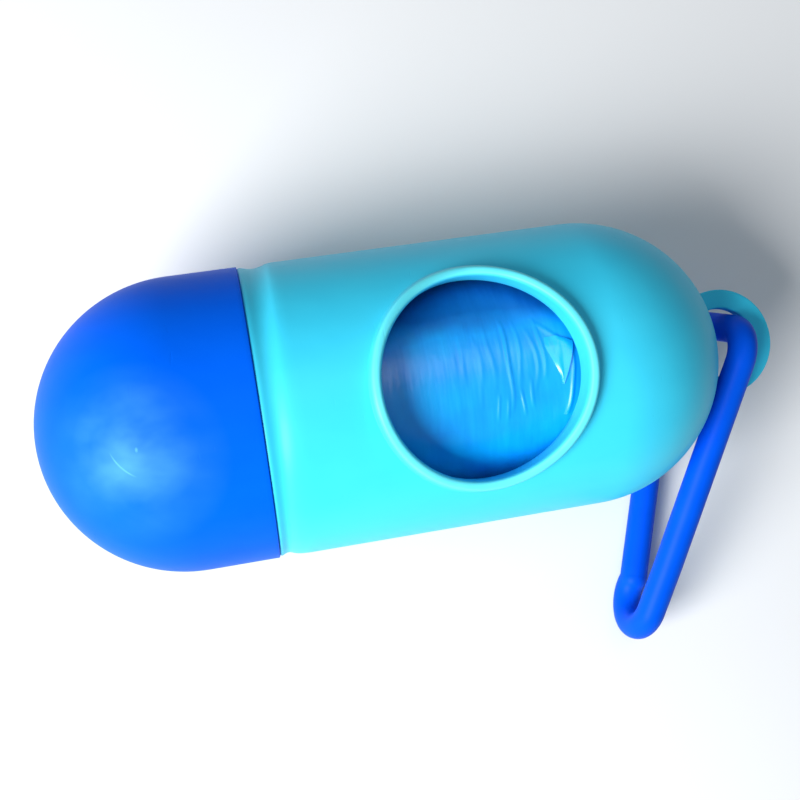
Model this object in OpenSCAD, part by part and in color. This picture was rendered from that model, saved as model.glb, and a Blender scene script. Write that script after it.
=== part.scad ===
// Dog poop bag dispenser: a capsule of two mouldings that screw together round a
// roll of bags, with a round opening to pull a bag through, and a snap clip.
// It lies on its side, rolled a little towards the clip. X runs along the capsule with
// the cap at -X, Z points up, and the origin is under the middle of the whole part.

/* [Capsule] */
// Outer diameter of the capsule
capsule_d = 38; // [36:0.5:46]
// Distance from the end of the roll to the tip of the body's dome
end_room = 15.5; // [14.5:0.5:20]
// Length of the cap, from its rim to the tip of its dome
cap_len = 28; // [27:0.5:34]
// Wall of the body, between its outside and the bore that holds the roll
shell_wall = 2.7; // [2.6:0.1:3]
// Gap between the cap's rim and the body's shoulder
rim_gap = 0.1; // [0.05:0.05:0.3]

/* [Neck and thread] */
// Length of the neck that the cap screws onto
neck_len = 7; // [6.5:0.5:8]
// Step from the outside of the capsule down to the neck
neck_step = 1.7; // [1.6:0.05:1.8]
// Advance of the thread in one turn
thread_pitch = 3; // [2.6:0.2:3.6]
// Turns of thread on each part
thread_turns = 1.5; // [1:0.25:1.75]
// Height of each thread ridge
thread_h = 0.42; // [0.3:0.02:0.44]
// Width of a thread ridge at its foot
thread_foot = 1.2; // [0.8:0.1:1.3]
// Width of a thread ridge at its crest
thread_crest = 0.7; // [0.4:0.1:0.8]
// Radial clearance between a thread crest and the wall it faces
thread_gap = 0.15; // [0.12:0.01:0.2]

/* [Shoulder] */
// Depth of the shallow groove beside the cap's rim
groove_depth = 0.5; // [0.2:0.05:0.8]
// Mean width of the groove
groove_w = 2.6; // [2:0.1:4]
// Lean of the groove's far edge, in degrees
groove_lean = 2.2; // [0:0.1:3]
// Width of the bead between the rim and the groove
bead_w = 0.7; // [0.4:0.1:1]
// Height of the bead over the bottom of the groove
bead_h = 0.25; // [0.1:0.05:0.4]

/* [Cap] */
// Wall of the cap's dome
cap_wall = 1.6; // [1.2:0.1:2.2]
// Depth of the cap's threaded skirt
skirt_len = 8.5; // [8.2:0.1:9]

/* [Opening] */
// Distance of the opening's centre from the cap's rim
opening_x = 26.4; // [22:0.2:30]
// Diameter of the opening
opening_d = 24.6; // [20:0.2:25]
// Width of the collar round the opening
collar_w = 1.35; // [1.2:0.05:2.6]
// Height of the collar over the capsule
collar_h = 1.4; // [0.6:0.1:2]

/* [Eyelet] */
// Outer diameter of the eyelet
eyelet_d = 14.6; // [14:0.2:18]
// Diameter of the eyelet's hole
eyelet_hole_d = 9.4; // [9.4:0.1:10]
// Distance of the hole's centre past the tip of the dome
eyelet_out = 2.1; // [2:0.1:4]
// Thickness of the eyelet
eyelet_t = 1.8; // [1.4:0.1:1.8]

/* [Roll of bags] */
// Gap between a full roll and the bore
roll_gap = 0.8; // [0.7:0.1:2]
// Width of the roll, which is the width of a folded bag
roll_len = 60; // [50:1:80]
// Distance of the roll's end from the cap's rim, inside the cap
roll_in_cap = 13.5; // [12:0.5:15]
// Outer diameter of the cardboard core
core_d = 15; // [13:0.5:18]
// Wall of the cardboard core
core_wall = 1; // [0.8:0.1:1.5]
// Running clearance between the core and the bags wound on it
core_gap = 0.1; // [0.05:0.05:0.2]
// Thickness of the outermost bag as it lies on the roll
film_t = 0.2; // [0.15:0.05:0.3]
// Gap left between the outermost bag and the rest of the roll
film_gap = 0.05; // [0.02:0.01:0.08]
// Degrees of the roll that the outermost bag goes round
film_wrap = 300; // [200:10:330]
// Distance of the bag's free corner from the end of the roll
tail_back = 10.1; // [8:0.1:13]
// Length of the free corner along the roll
tail_len = 4.4; // [3:0.2:6]
// Width of the free corner round the roll
tail_w = 6.4; // [4:0.2:8]
// Thickness of the folded film at the free corner
tail_t = 0.3; // [0.2:0.05:0.4]

/* [Clip] */
// Diameter of the clip's rod
rod_d = 3.9; // [3.4:0.1:3.9]
// Length of the clip from the eyelet's rod centre to the middle of its round end
clip_reach = 40.2; // [38:0.2:44]
// Bend radius of the round end
end_bend_r = 4; // [3.6:0.1:4.4]
// Height of the round end's centre over the line through the eyelet
end_rise = 1.8; // [1.4:0.1:2.2]
// Bend radius of the corner over the eyelet
near_bend_r = 4; // [3.6:0.1:4.2]
// Height of the straight side over the line through the eyelet
spine_rise = 6; // [5.9:0.1:6.2]
// Distance from the round end's middle back to the end of the straight side
spine_back = 6.7; // [6:0.1:9]
// Bend radius of the corner that rests on the table
far_bend_r = 7; // [6.6:0.1:7.2]
// Depth of that corner's centre under the line through the eyelet
far_drop = 8.1; // [7.6:0.1:8.2]
// Gap between the gate's slanted tip and the nose that it shuts against
nose_gap = 0.2; // [0.1:0.05:0.4]
// Gap at the root of the gate
root_gap = 0.2; // [0.2:0.05:0.3]
// Distance from the far corner to the slanted cut between nose and gate
nose_len = 2.5; // [2:0.5:5]

/* [Clip at rest] */
// Swing of the clip from square to the capsule, towards the cap
clip_swing = 23.5; // [15:0.5:23.5]
// Slope of the clip down to the table
clip_slope = 14; // [12:0.5:14]
// Lean of the clip out of upright
clip_lean = 7; // [5:0.5:7]
// Place of the rod in the eyelet's hole, along and across the capsule
rod_in_eyelet = [1.6, 1.7]; // [0:0.1:1.7]

/* [Hidden] */

$fn = 96;
// Sides of the bent rod, and the turn between its rings, in degrees
rod_sides = 16;
arc_step = 9;
capsule_r = capsule_d / 2;
bore_r = capsule_r - shell_wall;
neck_r = capsule_r - neck_step;
skirt_r = neck_r + thread_h + thread_gap;
rod_r = rod_d / 2;
roll_r = bore_r - roll_gap;
wound_r = roll_r - film_t - film_gap;
roll_end = roll_len - roll_in_cap;
body_len = roll_end + end_room;
eyelet_x = body_len + eyelet_out;

// The clip is drawn in its own plane: x from the eyelet to the round end, y up to
// the straight side. All points lie on the centre line of the rod.
near_c = [near_bend_r - 0.3, spine_rise - near_bend_r];
far_c = [far_bend_r + 0.9, -far_drop];
end_c = [clip_reach, end_rise];
spine_end = [clip_reach - spine_back, spine_rise];
gate_root_a = 249;
gate_root = end_c + end_bend_r * [cos(gate_root_a), sin(gate_root_a)];

function angle_of(v) = atan2(v[1], v[0]);
// Direction of the line from point p that touches a circle on the given side
function tangent_dir(p, c, r, side) = angle_of(c - p) + side * asin(r / norm(c - p));
function tangent_point(p, c, r, side) =
    let (a = tangent_dir(p, c, r, side))
    p + sqrt(pow(norm(c - p), 2) - r * r) * [cos(a), sin(a)];
// Angle, seen from both centres, of the outer line that touches two circles
function outer_dir(c1, r1, c2, r2) = angle_of(c2 - c1) + acos((r1 - r2) / norm(c2 - c1));

neck_dir = tangent_dir(spine_end, end_c, end_bend_r, 1);
gate_dir = tangent_dir(gate_root, far_c, far_bend_r, 1);
gate_far = tangent_point(gate_root, far_c, far_bend_r, 1);
gate_way = [cos(gate_dir), sin(gate_dir)];
top_a = outer_dir(far_c, far_bend_r, near_c, near_bend_r);
nose_cut = gate_far - nose_len * gate_way;

// The hook's centre line, from its nose round to the root of the gate, as [x, y, heading]
function straight(p, a) = [[p[0], p[1], a]];
function arc(c, r, a1, a2) =
    let (n = ceil(abs(a2 - a1) / arc_step))
    [
        for (i = [0:n])
            let (a = a1 + (a2 - a1) * i / n)
            [c[0] + r * cos(a), c[1] + r * sin(a), a - 90]
    ];
hook_line = concat(
    straight(nose_cut - rod_d * gate_way, gate_dir),
    arc(far_c, far_bend_r, gate_dir + 90 + 360, top_a),
    arc(near_c, near_bend_r, top_a, 90),
    straight(spine_end, neck_dir / 2),
    arc(end_c, end_bend_r, neck_dir + 90, gate_root_a - 360)
);

// Turns and places a point of the clip's plane at rest
function turn_x(p, a) = [p[0], p[1] * cos(a) - p[2] * sin(a), p[1] * sin(a) + p[2] * cos(a)];
function turn_y(p, a) = [p[0] * cos(a) + p[2] * sin(a), p[1], p[2] * cos(a) - p[0] * sin(a)];
function turn_z(p, a) = [p[0] * cos(a) - p[1] * sin(a), p[0] * sin(a) + p[1] * cos(a), p[2]];
clip_turn = [90 - clip_lean, clip_slope, -90 - clip_swing];
clip_at = [eyelet_x + rod_in_eyelet[0], rod_in_eyelet[1], 0];
function at_rest(p) =
    clip_at + turn_z(turn_y(turn_x([p[0], p[1], 0], clip_turn[0]), clip_turn[1]), clip_turn[2]);

// The capsule lies rolled towards the clip, with the clip's round end on the table
function roll_to_table(p) = atan2(p[2], -p[1]) + asin((capsule_r - rod_r) / norm([p[1], p[2]]));
end_points = [for (a = [-90:5:90]) at_rest(end_c + end_bend_r * [cos(a), sin(a)])];
rest_roll = min([for (p = end_points) roll_to_table(p)]);

// The origin goes under the middle of the box round the whole part
side_reach = min([for (p = end_points) turn_x(p, rest_roll)[1] - rod_r]);
origin = [(eyelet_x + eyelet_d / 2 - cap_len) / 2, (capsule_r + side_reach) / 2, -capsule_r];

module in_frame() {
    translate(-origin) rotate([rest_roll, 0, 0]) children();
}

// A cylinder along X from x1 to x2
module along_x(r, x1, x2) {
    translate([x1, 0, 0]) rotate([0, 90, 0]) cylinder(h = x2 - x1, r = r);
}

// A cylinder along X from x1, with a domed end whose centre is at x2
module domed(r, x1, x2) {
    along_x(r, x1, x2);
    translate([x2, 0, 0]) sphere(r = r);
}

// One helical ridge round X, as a chain of trapezoids whose ends fade into the wall.
// wall_r is inside the wall that carries it, foot_r is that wall's face.
module thread_ridge(wall_r, foot_r, crest_r, x1, start_a) {
    step = 10;
    n = round(360 * thread_turns / step);
    fade = 4;
    function crest(i) = foot_r + (crest_r - foot_r) * min(1, i / fade, (n - i) / fade);
    function ring(i) =
        let (a = start_a + i * step, x = x1 + thread_pitch * i * step / 360)
        [
            for (c = [
                [wall_r, -thread_foot / 2], [wall_r, thread_foot / 2],
                [crest(i), thread_crest / 2], [crest(i), -thread_crest / 2]
            ]) [x + c[1], c[0] * cos(a), c[0] * sin(a)]
        ];
    points = [for (i = [0:n]) each ring(i)];
    outward = crest_r > wall_r;
    sides = [
        for (i = [0:n - 1], k = [0:3])
            let (a = 4 * i + k, b = 4 * i + (k + 1) % 4)
            each [[a, b, b + 4], [a, b + 4, a + 4]]
    ];
    ends = [[3, 2, 1], [3, 1, 0], [4 * n, 4 * n + 1, 4 * n + 2], [4 * n, 4 * n + 2, 4 * n + 3]];
    faces = [for (f = concat(sides, ends)) outward ? [f[2], f[1], f[0]] : f];
    polyhedron(points, faces);
}

// ---- Body ----

module body_shell() {
    dome_x = body_len - capsule_r;
    color("deepskyblue") in_frame() {
        difference() {
            union() {
                shoulder();
                collar();
                translate([dome_x, 0, 0]) sphere(r = capsule_r);
                eyelet();
                along_x(neck_r, -neck_len, body_len / 2);
                thread_ridge(neck_r - 0.5, neck_r, neck_r + thread_h, -neck_len + 1, 0);
            }
            translate([opening_x, 0, 0]) cylinder(h = capsule_d, r = opening_d / 2);
            domed(bore_r, -neck_len - 1, dome_x);
        }
    }
}

// The outside of the body, with the groove and the bead beside the cap's rim
module shoulder() {
    groove_r = capsule_r - groove_depth;
    difference() {
        along_x(capsule_r, rim_gap, body_len - capsule_r);
        rotate([0, 0, -groove_lean]) difference() {
            along_x(capsule_r + 1, -2, groove_w);
            along_x(groove_r, -3, groove_w + 1);
        }
    }
    along_x(groove_r + bead_h, rim_gap, rim_gap + bead_w);
}

// The raised rim round the opening, whose top follows the capsule's curve
module collar() {
    intersection() {
        translate([opening_x, 0, 0]) cylinder(h = capsule_d, r = opening_d / 2 + collar_w);
        along_x(capsule_r + collar_h, 0, body_len);
    }
}

// The flat ring on the tip of the dome
module eyelet() {
    translate([eyelet_x, 0, -eyelet_t / 2]) difference() {
        cylinder(h = eyelet_t, r = eyelet_d / 2);
        translate([0, 0, -1]) cylinder(h = eyelet_t + 2, r = eyelet_hole_d / 2);
    }
}

// ---- Cap ----

module cap() {
    color("mediumblue") in_frame() {
        rotate([0, 90, 0]) rotate_extrude() cap_profile();
        thread_ridge(skirt_r + 0.5, skirt_r, neck_r + thread_gap, -neck_len + 1, 180);
    }
}

// Half of the cap's section, with the capsule's axis upwards
module cap_profile() {
    dome_x = capsule_r - cap_len;
    difference() {
        union() {
            translate([0, dome_x]) square([capsule_r, -dome_x]);
            quarter_disc(capsule_r, dome_x, -cap_len);
        }
        translate([0, -skirt_len]) square([skirt_r, skirt_len + 1]);
        quarter_disc(capsule_r - cap_wall, dome_x, -skirt_len);
    }
}

// The half disc of radius r round [0, y], on the right of the axis and under y_top
module quarter_disc(r, y, y_top) {
    intersection() {
        translate([0, y]) circle(r = r);
        translate([0, y - r]) square([r, max(y_top, y) - y + r]);
    }
}

// ---- Roll of bags ----

module roll_core() {
    color("tan") in_frame() difference() {
        along_x(core_d / 2, -roll_in_cap, roll_end);
        along_x(core_d / 2 - core_wall, -roll_in_cap - 1, roll_end + 1);
    }
}

module bag_roll() {
    color("dodgerblue") in_frame() difference() {
        along_x(wound_r, -roll_in_cap, roll_end);
        along_x(core_d / 2 + core_gap, -roll_in_cap - 1, roll_end + 1);
    }
}

module outer_bag() {
    color("dodgerblue") in_frame() {
        translate([-roll_in_cap, 0, 0]) rotate([90, 0, 90]) rotate([0, 0, 110 - film_wrap])
            rotate_extrude(angle = film_wrap)
                translate([roll_r - film_t, 0]) square([film_t, roll_len]);
    }
}

// The free corner, folded over to a triangle that lies on the roll
module bag_tail() {
    tail_x = roll_end - tail_back;
    half = tail_len / 2;
    color("lightskyblue") in_frame() intersection() {
        difference() {
            along_x(roll_r + tail_t, tail_x - half, tail_x + half);
            along_x(roll_r, tail_x - tail_len, tail_x + tail_len);
        }
        translate([tail_x, 0, 0]) linear_extrude(height = capsule_r)
            polygon([[-half, tail_w * 0.6], [half, tail_w * 0.45], [half * 0.1, -tail_w * 0.4]]);
    }
}

// ---- Clip ----

// Places a shape drawn in the clip's plane at rest
module clip_at_rest() {
    in_frame() translate(clip_at) rotate(clip_turn) children();
}

// A straight stretch of rod between two points of the plane
module straight_rod(p, q) {
    translate([p[0], p[1], 0]) rotate([0, 0, angle_of(q - p)]) rotate([0, 90, 0])
        cylinder(h = norm(q - p), r = rod_r);
}

// A rod along a line of [x, y, heading] in the plane, with rod_sides sides
module bent_rod(line) {
    n = rod_sides;
    last = n * (len(line) - 1);
    points = [
        for (p = line, k = [0:n - 1])
            let (a = 360 * k / n, side = rod_r * cos(a))
            [p[0] - side * sin(p[2]), p[1] + side * cos(p[2]), rod_r * sin(a)]
    ];
    sides = [
        for (i = [0:len(line) - 2], k = [0:n - 1])
            let (a = n * i + k, b = n * i + (k + 1) % n)
            each [[a, b + n, b], [a, a + n, b + n]]
    ];
    ends = [
        for (k = [1:n - 2]) each [[0, k, k + 1], [last, last + k + 1, last + k]]
    ];
    polyhedron(points, concat(sides, ends));
}

// A block on one side of the slanted cut between the nose and the gate, from x1 on
module beside_cut(x1, w) {
    translate([nose_cut[0], nose_cut[1], 0]) rotate([0, 0, gate_dir + 45])
        translate([x1, -w / 2, -rod_d]) cube([w, w, 2 * rod_d]);
}

module clip_hook() {
    color("royalblue") clip_at_rest() difference() {
        bent_rod(hook_line);
        translate([gate_root[0], gate_root[1], 0]) sphere(r = rod_r + root_gap);
        beside_cut(nose_gap - 3 * rod_d, 3 * rod_d);
    }
}

module clip_gate() {
    color("royalblue") clip_at_rest() difference() {
        union() {
            translate([gate_root[0], gate_root[1], 0]) sphere(r = rod_r);
            straight_rod(gate_root, gate_far);
        }
        beside_cut(0, 3 * rod_d);
    }
}

body_shell();
cap();
roll_core();
bag_roll();
outer_bag();
bag_tail();
clip_hook();
clip_gate();
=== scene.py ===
from math import asin, atan2, copysign, cos, hypot, pi, radians, sin, sqrt, tan

import bmesh
import bpy
from mathutils import Euler, Matrix, Vector, noise


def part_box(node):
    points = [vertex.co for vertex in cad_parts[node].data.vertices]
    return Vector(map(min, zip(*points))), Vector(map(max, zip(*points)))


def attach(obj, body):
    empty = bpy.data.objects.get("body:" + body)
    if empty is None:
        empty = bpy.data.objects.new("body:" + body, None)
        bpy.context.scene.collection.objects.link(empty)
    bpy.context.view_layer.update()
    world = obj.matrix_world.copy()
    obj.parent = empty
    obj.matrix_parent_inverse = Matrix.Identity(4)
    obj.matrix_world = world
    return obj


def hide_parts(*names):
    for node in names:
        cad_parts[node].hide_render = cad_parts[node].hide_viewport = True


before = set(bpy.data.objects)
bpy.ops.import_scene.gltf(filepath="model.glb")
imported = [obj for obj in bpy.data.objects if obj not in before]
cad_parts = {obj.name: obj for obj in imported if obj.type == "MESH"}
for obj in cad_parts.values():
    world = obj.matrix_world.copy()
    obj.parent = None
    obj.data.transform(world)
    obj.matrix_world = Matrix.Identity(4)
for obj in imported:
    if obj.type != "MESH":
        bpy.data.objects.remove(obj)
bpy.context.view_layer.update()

# ---- Body ----
# The longer half of the capsule: one moulding of pale blue polypropylene with a satin
# skin. The bore, the threaded neck, the groove beside the cap, the rolled rim round the
# opening and the flat eyelet on the tip all come out of the same mould.
mm = 0.001
neck_len = 7 * mm
body_low, body_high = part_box("body_shell")
capsule_r = (body_high.y - body_low.y) / 2
# The capsule's axis where it crosses the plane of the cap's rim
rim_middle = Vector((body_low.x + neck_len, (body_low.y + body_high.y) / 2,
                     body_low.z + capsule_r))
along = Vector((1, 0, 0))
up = Vector((0, 0, 1))
# The capsule is drawn with its opening straight up, and lies rolled towards the clip
rest_angle = radians(8.6766)
rest_roll = Matrix.Rotation(rest_angle, 3, "X")


class Wire:
    """A shader socket. Sums on wires add Math nodes, and node() adds any other node."""

    def __init__(self, tree, socket):
        self.tree = tree
        self.socket = socket

    def node(self, kind, settings, inputs, output=0):
        made = self.tree.nodes.new("ShaderNode" + kind)
        for name, value in settings.items():
            setattr(made, name, value)
        for name, value in inputs.items():
            if isinstance(value, Wire):
                self.tree.links.new(value.socket, made.inputs[name])
            else:
                made.inputs[name].default_value = value
        return Wire(self.tree, made.outputs[output]) if made.outputs else None

    def maths(self, operation, *values, clamp=False):
        settings = {"operation": operation, "use_clamp": clamp}
        return self.node("Math", settings, dict(enumerate(values)))

    def __add__(self, other):
        return self.maths("ADD", self, other)

    def __sub__(self, other):
        return self.maths("SUBTRACT", self, other)

    def __rsub__(self, other):
        return self.maths("SUBTRACT", other, self)

    def __mul__(self, other):
        return self.maths("MULTIPLY", self, other)

    __radd__ = __add__
    __rmul__ = __mul__

    def __abs__(self):
        return self.maths("ABSOLUTE", self)

    def between(self, low, high):
        """0 at low and 1 at high, clamped"""
        return self.maths("MULTIPLY", self - low, 1 / (high - low), clamp=True)

    def noise(self, size, detail=2.0, rough=0.5):
        """Noise whose features are about size metres across"""
        inputs = {"Vector": self, "Scale": 1 / size, "Detail": detail, "Roughness": rough}
        return self.node("TexNoise", {}, inputs)

    def stretched(self, scale, turn=(0, 0, 0), shift=(0, 0, 0)):
        inputs = {"Vector": self, "Scale": scale, "Rotation": turn, "Location": shift}
        return self.node("Mapping", {"vector_type": "POINT"}, inputs)

    def from_spot(self, spot, scale=(1, 1, 1)):
        """This place counted from a spot, with each axis scaled"""
        return self.stretched(scale, shift=tuple(-s * k for s, k in zip(spot, scale)))

    def length(self):
        return self.node("VectorMath", {"operation": "LENGTH"}, {0: self}, output=1)

    def near(self, spot, inner, outer, scale=(1, 1, 1)):
        """1 within the inner distance of a spot and 0 past the outer one"""
        return 1 - self.from_spot(spot, scale).length().between(inner, outer)

    def axis(self, number):
        """One of this place's coordinates: 0 for X, 1 for Y and 2 for Z"""
        return self.node("SeparateXYZ", {}, {0: self}, output=number)

    def tint(self, colour, other, share):
        """This place's mix of two colours, with the given share of the other one"""
        inputs = {0: share, 6: colour, 7: other}
        return self.node("Mix", {"data_type": "RGBA"}, inputs, output=2)


def new_material(name):
    """An empty material and the wire of its Object coordinates"""
    material = bpy.data.materials.new(name)
    material.use_nodes = True
    material.node_tree.nodes.clear()
    coordinates = material.node_tree.nodes.new("ShaderNodeTexCoord")
    return material, Wire(material.node_tree, coordinates.outputs["Object"])


def moulded_plastic(name, colour, pale, roughness, gloss, wear_and_highlight=None, worn_and_highlit=None):
    """Injection moulded plastic: faint cloudy colour, fine spark texture, hairline scratches, and
    where given a paler mask that is partly wear and partly painted highlight
    """
    material, place = new_material(name)
    clouds = place.noise(14 * mm, 3)
    flow = place.stretched((0.35, 1, 1)).noise(3 * mm, 2)
    mottle = (clouds * 0.7 + flow * 0.3).between(0.35, 0.75)
    skin = place.tint((*colour, 1), (*pale, 1), mottle)
    hairs = place.stretched((1, 0.06, 1), (0.3, 0.2, 0.9)).noise(0.5 * mm, 1)
    hairs = hairs.between(0.70, 0.74) * place.noise(6 * mm).between(0.5, 0.6)
    height = place.noise(0.35 * mm, 3) * 0.004 + place.noise(5 * mm, 1) * 0.05 - hairs * 0.01
    rough = clouds * 0.06 + (roughness - 0.03) + hairs * 0.1
    # The given mask lays a paler colour over the skin: partly real wear, partly painted highlight
    if wear_and_highlight:
        share = wear_and_highlight(place)
        skin = place.tint(skin, (*worn_and_highlit, 1), share)
        height = height - share * 0.01
    bump = place.node("Bump", {}, {"Strength": 1.0, "Distance": mm, "Height": height})
    inputs = {"Base Color": skin, "Roughness": rough, "Normal": bump, "Specular IOR Level": gloss}
    surface = place.node("BsdfPrincipled", {}, inputs)
    place.node("OutputMaterial", {}, {"Surface": surface})
    return material


def arc(centre_x, centre_r, radius, start, end, count):
    """Points of an arc from start to end degrees, counted from +X towards the outside"""
    turns = [radians(start + (end - start) * i / count) for i in range(count + 1)]
    return [(centre_x + radius * cos(t), centre_r + radius * sin(t)) for t in turns]


def spun(outline, steps=192, angle=2 * pi, climb=0.0, closed=False):
    """A mesh spun from (distance along, radius) points round the capsule's axis"""
    bm = bmesh.new()
    verts = [bm.verts.new(rim_middle + Vector((x, 0, r))) for x, r in outline]
    pairs = list(zip(verts, verts[1:])) + ([(verts[-1], verts[0])] if closed else [])
    edges = [bm.edges.new(pair) for pair in pairs]
    full = abs(angle - 2 * pi) < 1e-6 and climb == 0
    bmesh.ops.spin(bm, geom=verts + edges, cent=rim_middle, axis=along, dvec=along * climb,
                   angle=angle, steps=steps, use_merge=full, use_duplicate=False)
    return bm


def ring_of(middle, outline, steps):
    """A mesh spun from a closed outline of (radius, height) points round an upright axis"""
    bm = bmesh.new()
    verts = [bm.verts.new(middle + Vector((r, 0, z))) for r, z in outline]
    edges = [bm.edges.new(pair) for pair in zip(verts, verts[1:] + verts[:1])]
    bmesh.ops.spin(bm, geom=verts + edges, cent=middle, axis=up, angle=2 * pi, steps=steps,
                   use_merge=True)
    return bm


def finished(bm):
    """Merges doubles and turns the faces outwards"""
    bmesh.ops.remove_doubles(bm, verts=bm.verts, dist=0.001 * mm)
    bmesh.ops.recalc_face_normals(bm, faces=bm.faces)
    return bm


def new_piece(name, meshes, material, sharp=35):
    """One object from one or more closed meshes, smooth except at edges over sharp degrees"""
    data = bpy.data.meshes.new(name)
    joined = bmesh.new()
    for bm in meshes:
        part = bpy.data.meshes.new("part")
        bm.to_mesh(part)
        bm.free()
        joined.from_mesh(part)
        bpy.data.meshes.remove(part)
    bmesh.ops.rotate(joined, verts=joined.verts, cent=rim_middle, matrix=rest_roll)
    joined.to_mesh(data)
    joined.free()
    data.shade_smooth()
    data.set_sharp_from_angle(angle=radians(sharp))
    data.materials.append(material)
    piece = bpy.data.objects.new(name, data)
    bpy.context.scene.collection.objects.link(piece)
    return piece


def helix_ridge(root_r, foot_r, crest_r, start_x, start_turn):
    """A thread of one start whose ends fade into the wall that carries it"""
    pitch, turns, fade = 3 * mm, 1.5, 8
    foot, crest = 0.6 * mm, 0.35 * mm
    steps = round(60 * turns)
    outline = [(start_x - foot, root_r), (start_x + foot, root_r), (start_x + foot, foot_r),
               (start_x + crest, crest_r), (start_x - crest, crest_r), (start_x - foot, foot_r)]
    crest_corners = (3, 4)
    bm = spun(outline, steps, 2 * pi * turns, pitch * turns / steps, closed=True)
    bm.verts.ensure_lookup_table()
    corners = len(outline)
    for i, vert in enumerate(bm.verts):
        share = min(1, i // corners / fade, (steps - i // corners) / fade)
        if i % corners in crest_corners:
            out = vert.co - rim_middle
            out.x = 0
            vert.co -= out.normalized() * (crest_r - foot_r) * (1 - share)
    bmesh.ops.holes_fill(bm, edges=[e for e in bm.edges if e.is_boundary])
    start = Matrix.Rotation(start_turn, 3, "X")
    bmesh.ops.rotate(bm, verts=bm.verts, cent=rim_middle, matrix=start)
    return finished(bm)


bore_r = 16.3 * mm
neck_r = 17.3 * mm
dome_x = 43 * mm
thread_x = 1 * mm - neck_len
opening_from_rim = 26.4 * mm
opening = rim_middle + along * opening_from_rim
opening_r = 12.3 * mm
opening_cut_r = 12.9 * mm
rim_outer_r = 13.65 * mm
rim_top_r = 20.4 * mm

# Outline of the moulding: bore, neck, the bead and the soft groove, barrel and dome
groove = [
    (0.04, 17.6), (0.04, 18.62), (0.08, 18.72), (0.2, 18.79), (0.4, 18.79), (0.7, 18.7),
    (1.0, 18.6), (1.3, 18.54), (1.6, 18.52), (1.9, 18.54), (2.2, 18.61), (2.5, 18.71),
    (2.8, 18.81), (3.1, 18.89), (3.5, 18.95), (4.0, 18.985), (4.6, 19.0),
]
body_outline = (
    arc(dome_x, 0, bore_r, 0, 90, 24)
    + [(x * mm, bore_r) for x in range(42, -7, -1)]
    + [(-6.8 * mm, bore_r), (-neck_len, bore_r + 0.2 * mm), (-neck_len, neck_r - 0.25 * mm)]
    + [(-6.75 * mm, neck_r), (-4 * mm, neck_r), (0.04 * mm, neck_r)]
    + [(x * mm, r * mm) for x, r in groove]
    + [(x * mm, capsule_r) for x in range(5, 43)]
    + arc(dome_x, 0, capsule_r, 90, 0, 44)
)
shell = finished(spun(body_outline))

# The groove leans: it lies further from the cap on the side away from the clip
groove_lean = tan(radians(2.2))
groove_middle, groove_reach = 2.6 * mm, 2.4 * mm
for vert in shell.verts:
    from_rim = vert.co - rim_middle
    if hypot(from_rim.y, from_rim.z) > neck_r + 0.5 * mm:
        share = max(0, 1 - abs(from_rim.x - groove_middle) / groove_reach)
        vert.co.x += groove_lean * from_rim.y * share

# The opening is cut through the wall of the shell
cutter = bmesh.new()
bmesh.ops.create_cone(cutter, cap_ends=True, segments=192, radius1=opening_cut_r,
                      radius2=opening_cut_r, depth=capsule_r * 1.5,
                      matrix=Matrix.Translation(opening + up * capsule_r))
blanks = []
for name, bm in (("shell_blank", shell), ("opening_cutter", cutter)):
    blanks.append(bpy.data.objects.new(name, bpy.data.meshes.new(name)))
    bm.to_mesh(blanks[-1].data)
    bm.free()
    bpy.context.scene.collection.objects.link(blanks[-1])
cut = blanks[0].modifiers.new("opening", "BOOLEAN")
cut.operation = "DIFFERENCE"
cut.solver = "EXACT"
cut.object = blanks[1]
bpy.context.view_layer.update()
shell = bmesh.new()
shell.from_object(blanks[0], bpy.context.evaluated_depsgraph_get())
for blank in blanks:
    bpy.data.objects.remove(blank)

# The rim is spun flat round the opening, with a squarish bead on top and a crisp foot
bead_w = (rim_outer_r - opening_r) / 2
bead_h = 1.2 * mm
bead_squareness = 0.7
bead_steps = 24
bead = []
for i in range(bead_steps + 1):
    turn = pi * (1 - i / bead_steps)
    across = copysign(abs(cos(turn)) ** bead_squareness, cos(turn))
    drop = bead_h * (1 - sin(turn) ** bead_squareness)
    bead.append((opening_r + bead_w * (1 + across), rim_top_r - drop))
rim_foot = [(0.01, 19.2), (0.06, 19.08), (0.14, 19.01), (0.25, 18.95)]
rim_section = (
    [(opening_r + 0.25 * mm, bore_r), (opening_r, bore_r + 0.3 * mm), (opening_r, 17.6 * mm)]
    + bead
    + [(rim_outer_r + x * mm, z * mm) for x, z in rim_foot]
    + [(rim_outer_r, 18.4 * mm), (13.2 * mm, bore_r + 0.4 * mm), (13 * mm, bore_r)]
)
rim = ring_of(opening, rim_section, 160)

# Then it is wrapped down over the capsule, and its crest leans in over the opening
crest_lean = 0.7
lean_start, lean_rise = 18.9 * mm, 0.6 * mm
for vert in rim.verts:
    flat = Vector((vert.co.x - opening.x, vert.co.y - opening.y))
    height = vert.co.z - opening.z
    bead_side = flat.y * (opening_r + bead_w) / flat.length
    share = crest_lean * min(1, max(0, (height - lean_start) / lean_rise))
    side = flat.y + (bead_side - flat.y) * share
    vert.co.z = opening.z + sqrt(height ** 2 - side ** 2)
finished(rim)

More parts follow.
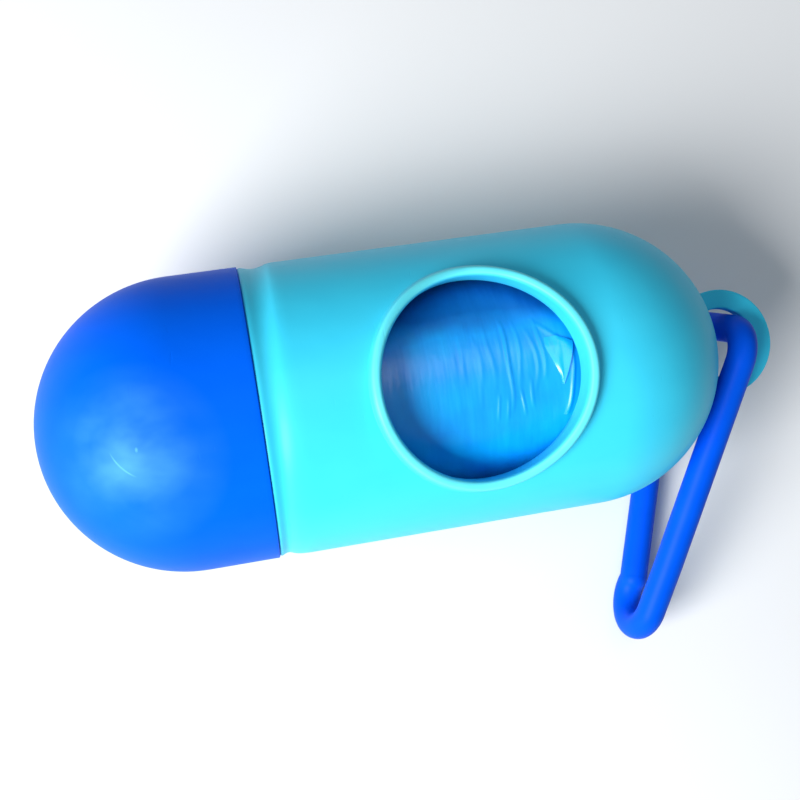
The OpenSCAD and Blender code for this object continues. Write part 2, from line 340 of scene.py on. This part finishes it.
# The eyelet stands out of the dome's tip, so its hidden side is cut off inside the wall
eyelet_middle = rim_middle + along * 64.1 * mm
eyelet_cut = rim_middle + along * 60.2 * mm
eyelet_out_r = 7.3 * mm
eyelet_hole_r = 4.7 * mm
eyelet_half = 0.9 * mm
edge_r = 0.28 * mm
eyelet_section = (
    arc(eyelet_out_r - edge_r, eyelet_half - edge_r, edge_r, 0, 90, 5)
    + arc(eyelet_hole_r + edge_r, eyelet_half - edge_r, edge_r, 90, 180, 5)
    + arc(eyelet_hole_r + edge_r, edge_r - eyelet_half, edge_r, 180, 270, 5)
    + arc(eyelet_out_r - edge_r, edge_r - eyelet_half, edge_r, 270, 360, 5)
)
eyelet = finished(ring_of(eyelet_middle, eyelet_section, 128))
whole = eyelet.verts[:] + eyelet.edges[:] + eyelet.faces[:]
bmesh.ops.bisect_plane(eyelet, geom=whole, plane_co=eyelet_cut, plane_no=-along,
                       clear_outer=True)
bmesh.ops.holes_fill(eyelet, edges=[e for e in eyelet.edges if e.is_boundary])
finished(eyelet)

neck_thread = helix_ridge(neck_r - 0.3 * mm, neck_r - 0.02 * mm, neck_r + 0.42 * mm, thread_x, 0)


def level_place(place):
    """Coordinates from the rim's middle, turned back so that the opening looks straight up"""
    shift = -(rest_roll.transposed() @ rim_middle)
    return place.stretched((1, 1, 1), (-rest_angle, 0, 0), shift)


def rim_wear_and_highlight(place):
    """The rim's crest, painted paler: rubbed by fingers and bags, and a painted highlight all
    round it
    """
    far = level_place(place).from_spot((opening_from_rim, 0, 0), (1, 1, 0)).length()
    past_inside = far.between(opening_r + 0.02 * mm, opening_r + 0.3 * mm)
    past_outside = far.between(rim_outer_r - 0.25 * mm, rim_outer_r + 0.1 * mm)
    return past_inside * (1 - past_outside) * (0.55 + place.noise(3 * mm) * 0.5)


# The rim's paler crest is partly wear and partly a painted highlight
body_material = moulded_plastic("pale_blue_plastic", (0.04, 0.66, 0.93), (0.05, 0.70, 0.95),
                                0.45, 0.24, rim_wear_and_highlight, (0.15, 0.88, 0.98))
body_piece = new_piece("capsule_body", [shell, rim, eyelet, neck_thread], body_material)
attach(body_piece, "body")
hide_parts("body_shell")

# ---- Cap ----
# The shorter half: a dark blue moulding of the same plastic, with the inner thread in its
# skirt. It screws onto the neck until its rim meets the bead on the body.
skirt_r = 17.87 * mm
skirt_x = -8.5 * mm
cap_dome_x = -9 * mm
cap_inner_r = 17.4 * mm
cap_outline = (
    arc(cap_dome_x, 0, cap_inner_r, 180, 93, 24)
    + [(skirt_x, cap_inner_r), (skirt_x, skirt_r - 0.1 * mm), (skirt_x + 0.1 * mm, skirt_r)]
    + [(-4 * mm, skirt_r), (-0.2 * mm, skirt_r), (0, skirt_r + 0.2 * mm), (0, 18.85 * mm)]
    + [(-0.02 * mm, 18.93 * mm), (-0.07 * mm, 18.98 * mm), (-0.15 * mm, capsule_r)]
    + [(-x * mm, capsule_r) for x in (0.6, 1, 2, 3, 4, 5, 6, 7, 8)]
    + arc(cap_dome_x, 0, capsule_r, 90, 180, 44)
)
cap_shell = finished(spun(cap_outline))
cap_thread = helix_ridge(skirt_r + 0.3 * mm, skirt_r + 0.02 * mm, neck_r + 0.15 * mm, thread_x, pi)


def cap_marks_and_highlight(place):
    """A short pale scratch and a nick beside it, which are wear, and a cloudy pale patch of
    painted highlight, on the cap's crown
    """
    bend_middle, bend_r = Vector((-33.4, 7.1, 0)) * mm, 6 * mm
    scratch_half, scratch_w = 2.1 * mm, 0.1 * mm
    from_bend = place.from_spot(bend_middle, (1, 1, 0))
    line = 1 - abs(from_bend.length() - bend_r).between(0.3 * scratch_w, scratch_w)
    over = abs(from_bend.stretched((1, 1, 1), (0, 0, radians(51))).axis(0))
    line = line * (1 - over.between(0.3 * scratch_half, scratch_half))
    right_side = from_bend.stretched((1, 1, 1), (0, 0, radians(141))).axis(0).between(0, mm)
    nick = place.near(Vector((-36, 4.86, 0)) * mm, 0.1 * mm, 0.34 * mm, (1.6, 1, 0))
    # Painted highlight: a cloudy pale patch where the window light's reflection falls on the crown
    highlight_spread = place.near(Vector((-37.4, 3.4, 36.3)) * mm, 2 * mm, 12 * mm)
    highlight_core = place.near(Vector((-36.9, 4.9, 37)) * mm, 1 * mm, 8 * mm)
    clouds = place.stretched((0.6, 1, 1)).noise(5 * mm, 3).between(0.25, 0.75)
    painted_highlight = highlight_spread * (clouds * 0.28 + 0.04) + highlight_core * (clouds * 0.45 + 0.1)
    return line * right_side * 0.8 + nick * 0.5 + painted_highlight


# The cap's pale marks: a real scratch and nick, and a painted highlight on the crown
cap_material = moulded_plastic("deep_blue_plastic", (0.0, 0.115, 0.84), (0.001, 0.133, 0.88),
                               0.40, 0.022, cap_marks_and_highlight, (0.10, 0.42, 0.95))
cap_piece = new_piece("capsule_cap", [cap_shell, cap_thread], cap_material)
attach(cap_piece, "cap")
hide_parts("cap")

# ---- Roll core ----
# A tube of grey-brown board that the bags are wound on. It is glued up from strips, and
# their seams show as fine rings.
core_low, core_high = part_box("roll_core")
core_start = core_low.x - rim_middle.x
core_end = core_high.x - rim_middle.x
core_r = (core_high.y - core_low.y) / 2
core_in_r = core_r - 1 * mm
core_edge = 0.1 * mm
core_outline = [
    (core_start, core_in_r), (core_start, core_r - core_edge), (core_start + core_edge, core_r),
    (core_end - core_edge, core_r), (core_end, core_r - core_edge), (core_end, core_in_r),
]
core_mesh = finished(spun(core_outline, 96, closed=True))
board, place = new_material("grey_board")
fibres = place.stretched((0.3, 1, 1)).noise(0.8 * mm, 4, 0.7)
waves = place.axis(0) * 300
seams = waves.maths("SINE", waves).between(0.95, 1.0)
brown = place.tint((0.42, 0.30, 0.18, 1), (0.58, 0.45, 0.30, 1), fibres.between(0.3, 0.7))
height = fibres - seams * 0.4
relief = place.node("Bump", {}, {"Strength": 0.6, "Distance": 0.2 * mm, "Height": height})
inputs = {"Base Color": brown, "Roughness": 0.9, "Normal": relief}
surface = place.node("BsdfPrincipled", {}, inputs)
place.node("OutputMaterial", {}, {"Surface": surface})
core_piece = new_piece("cardboard_core", [core_mesh], board)
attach(core_piece, "cap_turn_carrier")
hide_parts("roll_core")

# ---- Wound bags ----
# Flat bags of thin blue film, folded to the roll's width and wound on the core. The edges
# of the layers show as fine rings on the ends.
roll_low, roll_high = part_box("outer_bag")
roll_start = roll_low.x - rim_middle.x
roll_end = roll_high.x - rim_middle.x
roll_r = 15.5 * mm
wound_r = roll_r - 0.27 * mm
wound_in_r = core_r + 0.1 * mm
ring_count = 22
ring_gap = (wound_r - wound_in_r) / ring_count
ends = []
for i in range(ring_count):
    step = 0.17 * mm if i % 3 == 0 else 0.05 * mm
    ends += [(0.0, wound_in_r + ring_gap * i), (step, wound_in_r + ring_gap * (i + 0.5))]
wound_outline = (
    [(roll_start + 0.2 * mm + x, r) for x, r in ends]
    + [(roll_start + 0.3 * mm, wound_r)]
    + [(roll_start + x * mm, wound_r) for x in range(1, 60)]
    + [(roll_end - 0.3 * mm, wound_r)]
    + [(roll_end - 0.2 * mm - x, r) for x, r in reversed(ends)]
)
wound = finished(spun(wound_outline, 160, closed=True))


def film_material(name, thin, thick, painted_shade_colour, roughness):
    """Thin polyethylene film with a waxy sheen and fine creases, and painted shade: deeper blue on
    the roll's +Y side
    """
    material, place = new_material(name)
    creases = place.stretched((1, 0.14, 0.14)).noise(1.6 * mm, 2, 0.45)
    clouds = place.noise(6 * mm, 2)
    tone = (creases * 0.3 + clouds * 0.7).between(0.3, 0.7)
    colour = place.tint((*thick, 1), (*thin, 1), tone)
    # Painted shade: the roll's +Y side, turned away from the window light, is tinted deeper blue
    level = level_place(place)
    side = level.axis(1) + level.noise(4 * mm) * (2 * mm)
    colour = place.tint(colour, (*painted_shade_colour, 1), side.between(6.0 * mm, 9.0 * mm))
    height = creases * 0.22 + place.noise(1.1 * mm, 1) * 0.03
    relief = place.node("Bump", {}, {"Strength": 0.6, "Distance": mm, "Height": height})
    inputs = {"Base Color": colour, "Roughness": roughness, "Normal": relief,
              "Specular IOR Level": 0.85}
    surface = place.node("BsdfPrincipled", {}, inputs)
    place.node("OutputMaterial", {}, {"Surface": surface})
    return material


# The third colour is painted shade for the roll's side away from the light
film = film_material("blue_film", (0.001, 0.43, 0.95), (0.0, 0.29, 0.87), (0.0, 0.115, 0.44), 0.31)
wound_piece = new_piece("wound_bags", [wound], film)
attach(wound_piece, "bags")
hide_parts("bag_roll")

# ---- Outermost bag and its free corner ----
# The bag that comes off next goes most of the way round the roll, loose and wrinkled. Its
# edge lies along the roll inside the opening, and one corner is folded over to a triangle.
film_t = 0.08 * mm
film_wrap = radians(300)
film_edge = radians(113)
film_steps = 130
film_rows = 320

# In millimetres from the opening's middle, each of the film's folds has a place along the
# capsule, a bow, its two ends across the capsule, a height and a half width
film_folds = (
    (-4.4, 0.004, -3.0, 4.0, 0.03, 0.9), (-1.6, 0.006, -1.0, 5.5, 0.04, 0.6),
    (0.3, 0.010, -4.0, 5.0, 0.04, 0.5), (1.9, 0.012, -2.0, 6.5, 0.045, 0.5),
    (4.1, 0.020, -4.8, 6.8, 0.125, 0.42), (5.4, 0.016, -2.6, 6.6, 0.06, 0.4),
    (7.3, 0.030, -3.0, 5.6, 0.08, 0.45), (8.5, 0.045, -1.5, 6.4, 0.10, 0.4),
    (2.1, 0.0, -5.6, -2.4, 0.09, 0.3), (3.1, 0.0, -5.6, -3.0, 0.08, 0.3),
    (5.1, 0.0, -5.4, -2.2, 0.11, 0.3), (6.5, 0.0, -4.6, -1.2, 0.10, 0.35),
)
# A hem follows the rim's wall, and a crease runs into the free corner
hem_r, hem_height, hem_half = 11.9, 0.17, 0.4
hem_start, hem_end = radians(-35), radians(10)
crease_start, crease_end = Vector((7.6, 6.1)), Vector((12.0, 2.0))
crease_height, crease_half = 0.11, 0.4


def fold(away):
    """A fold's rounded cross-section: 1 on its crest and 0 from one half width away"""
    return (1 - away) ** 2 * (1 + 2 * away) if away < 1 else 0


def wrinkle(x, turn):
    """How far the film stands off the roll: soft swells, long folds, the hem and the crease"""
    east, north = (x - opening_from_rim) / mm, roll_r * cos(turn) / mm
    swell = noise.noise(Vector((east / 6, turn * 1.2, 3)))
    fine = noise.noise(Vector(((east + sin(turn * 5)) / 1.3, turn * 1.6, 7)))
    lift = 0.03 + 0.03 * swell + 0.018 * fine * (1 if east > -6 else 0.4)
    if sin(turn) < 0.5:
        return lift * mm
    for place_x, bow, low, high, rise, half in film_folds:
        if low < north < high:
            from_middle = north - (low + high) / 2
            away = abs(east - place_x + bow * from_middle ** 2 - 0.22 * sin(north * 0.6 + place_x))
            fade = sqrt(1 - (2 * from_middle / (high - low)) ** 2)
            lift += rise * fold(away / half) * fade
    around = atan2(north, east)
    if hem_start < around < hem_end:
        away = abs(hypot(east, north) - hem_r - 0.15 * sin(around * 9))
        fade = min(1, (around - hem_start) * 6, (hem_end - around) * 6)
        lift += hem_height * fold(away / hem_half) * fade
    spot, crease = Vector((east, north)) - crease_start, crease_end - crease_start
    share = spot.dot(crease) / crease.length_squared
    if 0 < share < 1:
        away = abs(spot.cross(crease)) / crease.length
        fade = min(1, share * 3, (1 - share) * 4)
        lift += crease_height * fold(away / crease_half) * fade
    return lift * mm


def film_point(x, turn, lift):
    """A point of the film, with turn counted from +Y towards the opening"""
    height = roll_r - 0.2 * mm + wrinkle(x, turn) + lift
    return rim_middle + Vector((x, height * cos(turn), height * sin(turn)))


def between_marks(share, marks):
    """The value at a share of the way, on straight lines between (share, value) marks"""
    for (low, start), (high, end) in zip(marks, marks[1:]):
        if share <= high:
            return start + (end - start) * (share - low) / (high - low)
    return marks[-1][1]


def thickened(sheet, thickness):
    """A closed mesh from a sheet of film"""
    bmesh.ops.recalc_face_normals(sheet, faces=sheet.faces)
    whole = sheet.faces[:] + sheet.edges[:] + sheet.verts[:]
    bmesh.ops.solidify(sheet, geom=whole, thickness=-thickness)
    return finished(sheet)


# The grid is finer inside the opening, where the folds are
rows = ((0, roll_start), (0.12, 13 * mm), (0.88, 40 * mm), (1, roll_end))
turns = ((0, film_edge - film_wrap), (0.4, radians(36)), (1, film_edge))
outer = bmesh.new()
bmesh.ops.create_grid(outer, x_segments=film_rows, y_segments=film_steps, size=1)
for vert in outer.verts:
    share_x, share_turn = (vert.co.x + 1) / 2, (vert.co.y + 1) / 2
    x = between_marks(share_x, rows)
    turn = between_marks(share_turn, turns)
    turn += 0.02 * noise.noise(Vector((x / (6 * mm), 0, 11))) * share_turn
    vert.co = film_point(x, turn, 0)
outer_piece = new_piece("outermost_bag", [thickened(outer, film_t)], film, 60)
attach(outer_piece, "bags")
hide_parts("outer_bag")

# The corner's triangle: its three points along the capsule and across it, and its curl
tail_left, tail_right = Vector((34.2, 3.84)) * mm, Vector((38.6, 2.88)) * mm
tail_tip = Vector((36.62, -2.56)) * mm
tail = bmesh.new()
bmesh.ops.create_grid(tail, x_segments=14, y_segments=20, size=1)
for vert in tail.verts:
    east, north = (vert.co.x + 1) / 2, (vert.co.y + 1) / 2
    spot = tail_tip.lerp(tail_left.lerp(tail_right, east), max(north, 0.06))
    belly = 4 * north * (1 - north)
    spot.x += mm * (belly * (0.5 - 0.3 * east) + 0.1 * sin(north * 9) * (1 - east))
    spot.y += mm * (1.2 * east * (1 - east) - 0.1 * sin(east * 8)) * north ** 2
    ridge = max(0, 1 - abs(east - 0.28 - 0.25 * north) / 0.18)
    crumple = noise.noise(Vector((spot.x / (1.1 * mm), spot.y / (3 * mm), 2)))
    stand = max(0, east - 0.45 - 0.10 * sin(north * 5)) * north * (1.15 - north ** 3)
    sunk = max(0, 1 - east * 4) + max(0, north * 5 - 4) * (1 - east)
    curl = 0.10 - 0.16 * sunk + 0.95 * stand + (0.10 * crumple + 0.12 * ridge) * north
    turn = atan2(sqrt(roll_r ** 2 - spot.y ** 2), spot.y)
    vert.co = film_point(spot.x, turn, curl * mm)
# Painted light: the corner is the same film as the roll in a paler copy of its colours, for the
# raised corner in the window light; its third colour is painted shade as on the roll
paler_tail_film = film_material("corner_film_painted_paler", (0.004, 0.50, 0.96), (0.0, 0.36, 0.88),
                          (0.0, 0.24, 0.74), 0.28)
tail_piece = new_piece("free_corner", [thickened(tail, 0.06 * mm)], paler_tail_film, 60)
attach(tail_piece, "bags")
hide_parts("bag_tail")

# ---- Clip frame ----
# A snap clip moulded from blue nylon rod: a bend through the eyelet, a straight side, a
# round end and a wide corner that rests on the table.
rod_r = 1.95 * mm
clip_place = rim_middle + Vector((65.7, 1.7, 0)) * mm
clip_turn = Euler((radians(83), radians(14), radians(-113.5)), "XYZ").to_matrix()
# In the clip's plane: the bend through the eyelet, the wide corner and the round end
near_r, far_r, end_r = 4 * mm, 7 * mm, 4 * mm
near_c = Vector((3.7, 2.0, 0)) * mm
far_c = Vector((7.9, -8.1, 0)) * mm
end_c = Vector((40.2, 1.8, 0)) * mm
spine_end = Vector((33.5, 6.0, 0)) * mm
root_turn = radians(249)


def heading(v):
    return atan2(v.y, v.x)


def polar(radius, turn):
    return Vector((radius * cos(turn), radius * sin(turn), 0))


# Straight rods run along the tangents of those arcs
gate_root = end_c + polar(end_r, root_turn)
root_to_far = far_c - gate_root
gate_turn = heading(root_to_far) + asin(far_r / root_to_far.length)
gate_far = gate_root + polar(sqrt(root_to_far.length_squared - far_r ** 2), gate_turn)
spine_to_end = end_c - spine_end
widen_turn = heading(spine_to_end) + asin(end_r / spine_to_end.length)
near_from_far = near_c - far_c
top_turn = heading(near_from_far) + (pi / 2 - asin((far_r - near_r) / near_from_far.length))
nose_len = 2.5 * mm
nose_cut = gate_far - polar(nose_len, gate_turn)
nose_gap = 0.2 * mm
nose_edge = 0.2 * mm
cut_way = polar(1, gate_turn + pi / 4)


class Rod:
    """A round rod drawn in the clip's plane, by extruding and spinning its last ring"""

    def __init__(self, start, way):
        self.bm = bmesh.new()
        turn = Matrix.Rotation(way, 4, "Z") @ Matrix.Rotation(pi / 2, 4, "Y")
        bmesh.ops.create_circle(self.bm, segments=40, radius=rod_r,
                                matrix=Matrix.Translation(start) @ turn)
        self.ring = self.bm.edges[:]

    def straight(self, way, length, count=1):
        for _ in range(count):
            made = bmesh.ops.extrude_edge_only(self.bm, edges=self.ring)["geom"]
            verts = [v for v in made if isinstance(v, bmesh.types.BMVert)]
            bmesh.ops.translate(self.bm, verts=verts, vec=polar(length / count, way))
            edges = [e for e in made if isinstance(e, bmesh.types.BMEdge)]
            self.ring = [e for e in edges
                         if len(e.link_faces) == 1 and all(v in verts for v in e.verts)]

    def bend(self, centre, angle, steps):
        verts = list({v for e in self.ring for v in e.verts})
        made = bmesh.ops.spin(self.bm, geom=verts + self.ring, cent=centre, axis=up,
                              angle=angle, steps=steps)
        self.ring = [e for e in made["geom_last"] if isinstance(e, bmesh.types.BMEdge)]

    def round_off(self, way):
        """Closes the last ring with a half ball"""
        steps = 8
        for i in range(1, steps + 1):
            before, after = radians(90 * (i - 1) / steps), radians(90 * i / steps)
            self.straight(way, rod_r * (sin(after) - sin(before)))
            verts = list({v for e in self.ring for v in e.verts})
            middle = sum((v.co for v in verts), Vector()) / len(verts)
            shrink = max(cos(after), 0.01) / cos(before)
            bmesh.ops.scale(self.bm, verts=verts, vec=(shrink,) * 3,
                            space=Matrix.Translation(-middle))
        bmesh.ops.holes_fill(self.bm, edges=self.ring)

    def cut_off(self, place, way):
        """Cuts off what lies past a plane, and softens the new edge"""
        whole = self.bm.verts[:] + self.bm.edges[:] + self.bm.faces[:]
        cut = bmesh.ops.bisect_plane(self.bm, geom=whole, plane_co=place, plane_no=way,
                                     clear_outer=True)
        edge = [e for e in cut["geom_cut"] if isinstance(e, bmesh.types.BMEdge)]
        bmesh.ops.holes_fill(self.bm, edges=edge)
        bmesh.ops.bevel(self.bm, geom=edge, offset=nose_edge, offset_type="OFFSET", segments=3,
                        profile=0.5, affect="EDGES", material=-1, clamp_overlap=True)

    def placed(self):
        place = Matrix.Translation(clip_place) @ clip_turn.to_4x4()
        bmesh.ops.transform(self.bm, verts=self.bm.verts, matrix=place)
        return finished(self.bm)


frame_rod = Rod(nose_cut - polar(rod_r * 2, gate_turn), gate_turn)
frame_rod.straight(gate_turn, rod_r * 2 + nose_len, 4)
frame_rod.cut_off(nose_cut + cut_way * nose_gap, -cut_way)
frame_rod.bend(far_c, top_turn - (gate_turn + pi / 2 + 2 * pi), 40)
near_top = near_c + polar(near_r, top_turn)
far_top = far_c + polar(far_r, top_turn)
frame_rod.straight(heading(near_top - far_top), (near_top - far_top).length, 6)
frame_rod.bend(near_c, pi / 2 - top_turn, 28)
frame_rod.straight(0, spine_end.x - near_c.x, 20)
widen_end = end_c + polar(end_r, widen_turn + pi / 2)
frame_rod.straight(widen_turn, (widen_end - spine_end).length, 4)
frame_rod.bend(end_c, root_turn - 2 * pi - (widen_turn + pi / 2), 44)
frame_rod.round_off(root_turn - pi / 2)

clip_material = moulded_plastic("clip_nylon", (0.0, 0.085, 0.74), (0.001, 0.104, 0.80), 0.42, 0.05)
frame_piece = new_piece("clip_frame", [frame_rod.placed()], clip_material, 40)
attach(frame_piece, "clip")
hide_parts("clip_hook")

# ---- Clip gate ----
# The springy side of the same moulding. It bends at its root by the round end, opens
# inwards, and shuts against the frame's nose with a slanted face.
gate_rod = Rod(gate_far, gate_turn + pi)
gate_rod.straight(gate_turn + pi, (gate_far - gate_root).length, 24)
gate_rod.cut_off(nose_cut, cut_way)
gate_rod.round_off(gate_turn + pi)
gate_piece = new_piece("clip_gate_arm", [gate_rod.placed()], clip_material, 40)
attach(gate_piece, "gate")
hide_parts("clip_gate")

# ---- Table, light and camera ----
# A pale table top, a soft window light low on the left, a narrow strip light overhead and
# a dim, faintly blue room. The camera hangs over the cap's end, as in the photograph.
floor_mesh = bpy.data.meshes.new("table_top")
floor_bm = bmesh.new()
bmesh.ops.create_grid(floor_bm, x_segments=1, y_segments=1, size=2.0)
floor_bm.to_mesh(floor_mesh)
floor_bm.free()
table_top = bpy.data.objects.new("table_top", floor_mesh)
bpy.context.scene.collection.objects.link(table_top)
paint, place = new_material("white_table")
inputs = {"Base Color": (0.93, 0.93, 0.93, 1), "Roughness": 0.9}
surface = place.node("BsdfPrincipled", {}, inputs)
place.node("OutputMaterial", {}, {"Surface": surface})
table_top.data.materials.append(paint)


def soft_light(name, way, distance, length, width, power):
    """An oblong area light that looks at the opening, its length along the capsule"""
    lamp = bpy.data.lights.new(name, "AREA")
    lamp.shape = "RECTANGLE"
    lamp.size = length
    lamp.size_y = width
    lamp.energy = power
    made = bpy.data.objects.new(name, lamp)
    made.location = opening + Vector(way).normalized() * distance
    made.rotation_euler = (made.location - opening).to_track_quat("Z", "Y").to_euler()
    bpy.context.scene.collection.objects.link(made)


soft_light("window_light", (-0.72, -0.40, 0.61), 0.42, 0.22, 0.22, 2.75)
soft_light("ceiling_light", (-0.04, 0.05, 1), 0.6, 0.46, 0.16, 0.40)
room = bpy.data.worlds.new("white_room")
room.use_nodes = True
backdrop = room.node_tree.nodes["Background"]
backdrop.inputs["Color"].default_value = (0.80, 0.96, 1.12, 1)
backdrop.inputs["Strength"].default_value = 0.18
bpy.context.scene.world = room
bpy.context.scene.view_settings.view_transform = "Standard"

# In the camera's own axes, the rim's middle lies this far right, up and behind it
rim_seen = Vector((-18.52, -1.63, -143.41)) * mm
image_side = 800
focal_px = 1100
seen_turn, seen_tilt = radians(8.70), radians(8.26)
view_turn = Matrix.Rotation(seen_turn, 3, "Z") @ Matrix.Rotation(seen_tilt, 3, "Y")
camera_turn = rest_roll @ view_turn.transposed()
camera_data = bpy.data.cameras.new("camera")
camera_data.sensor_width = 36
camera_data.lens = camera_data.sensor_width * focal_px / image_side
camera_data.clip_start = 0.01
camera = bpy.data.objects.new("camera", camera_data)
camera_spot = rim_middle - camera_turn @ rim_seen
camera.matrix_world = Matrix.Translation(camera_spot) @ camera_turn.to_4x4()
bpy.context.scene.collection.objects.link(camera)
bpy.context.scene.camera = camera
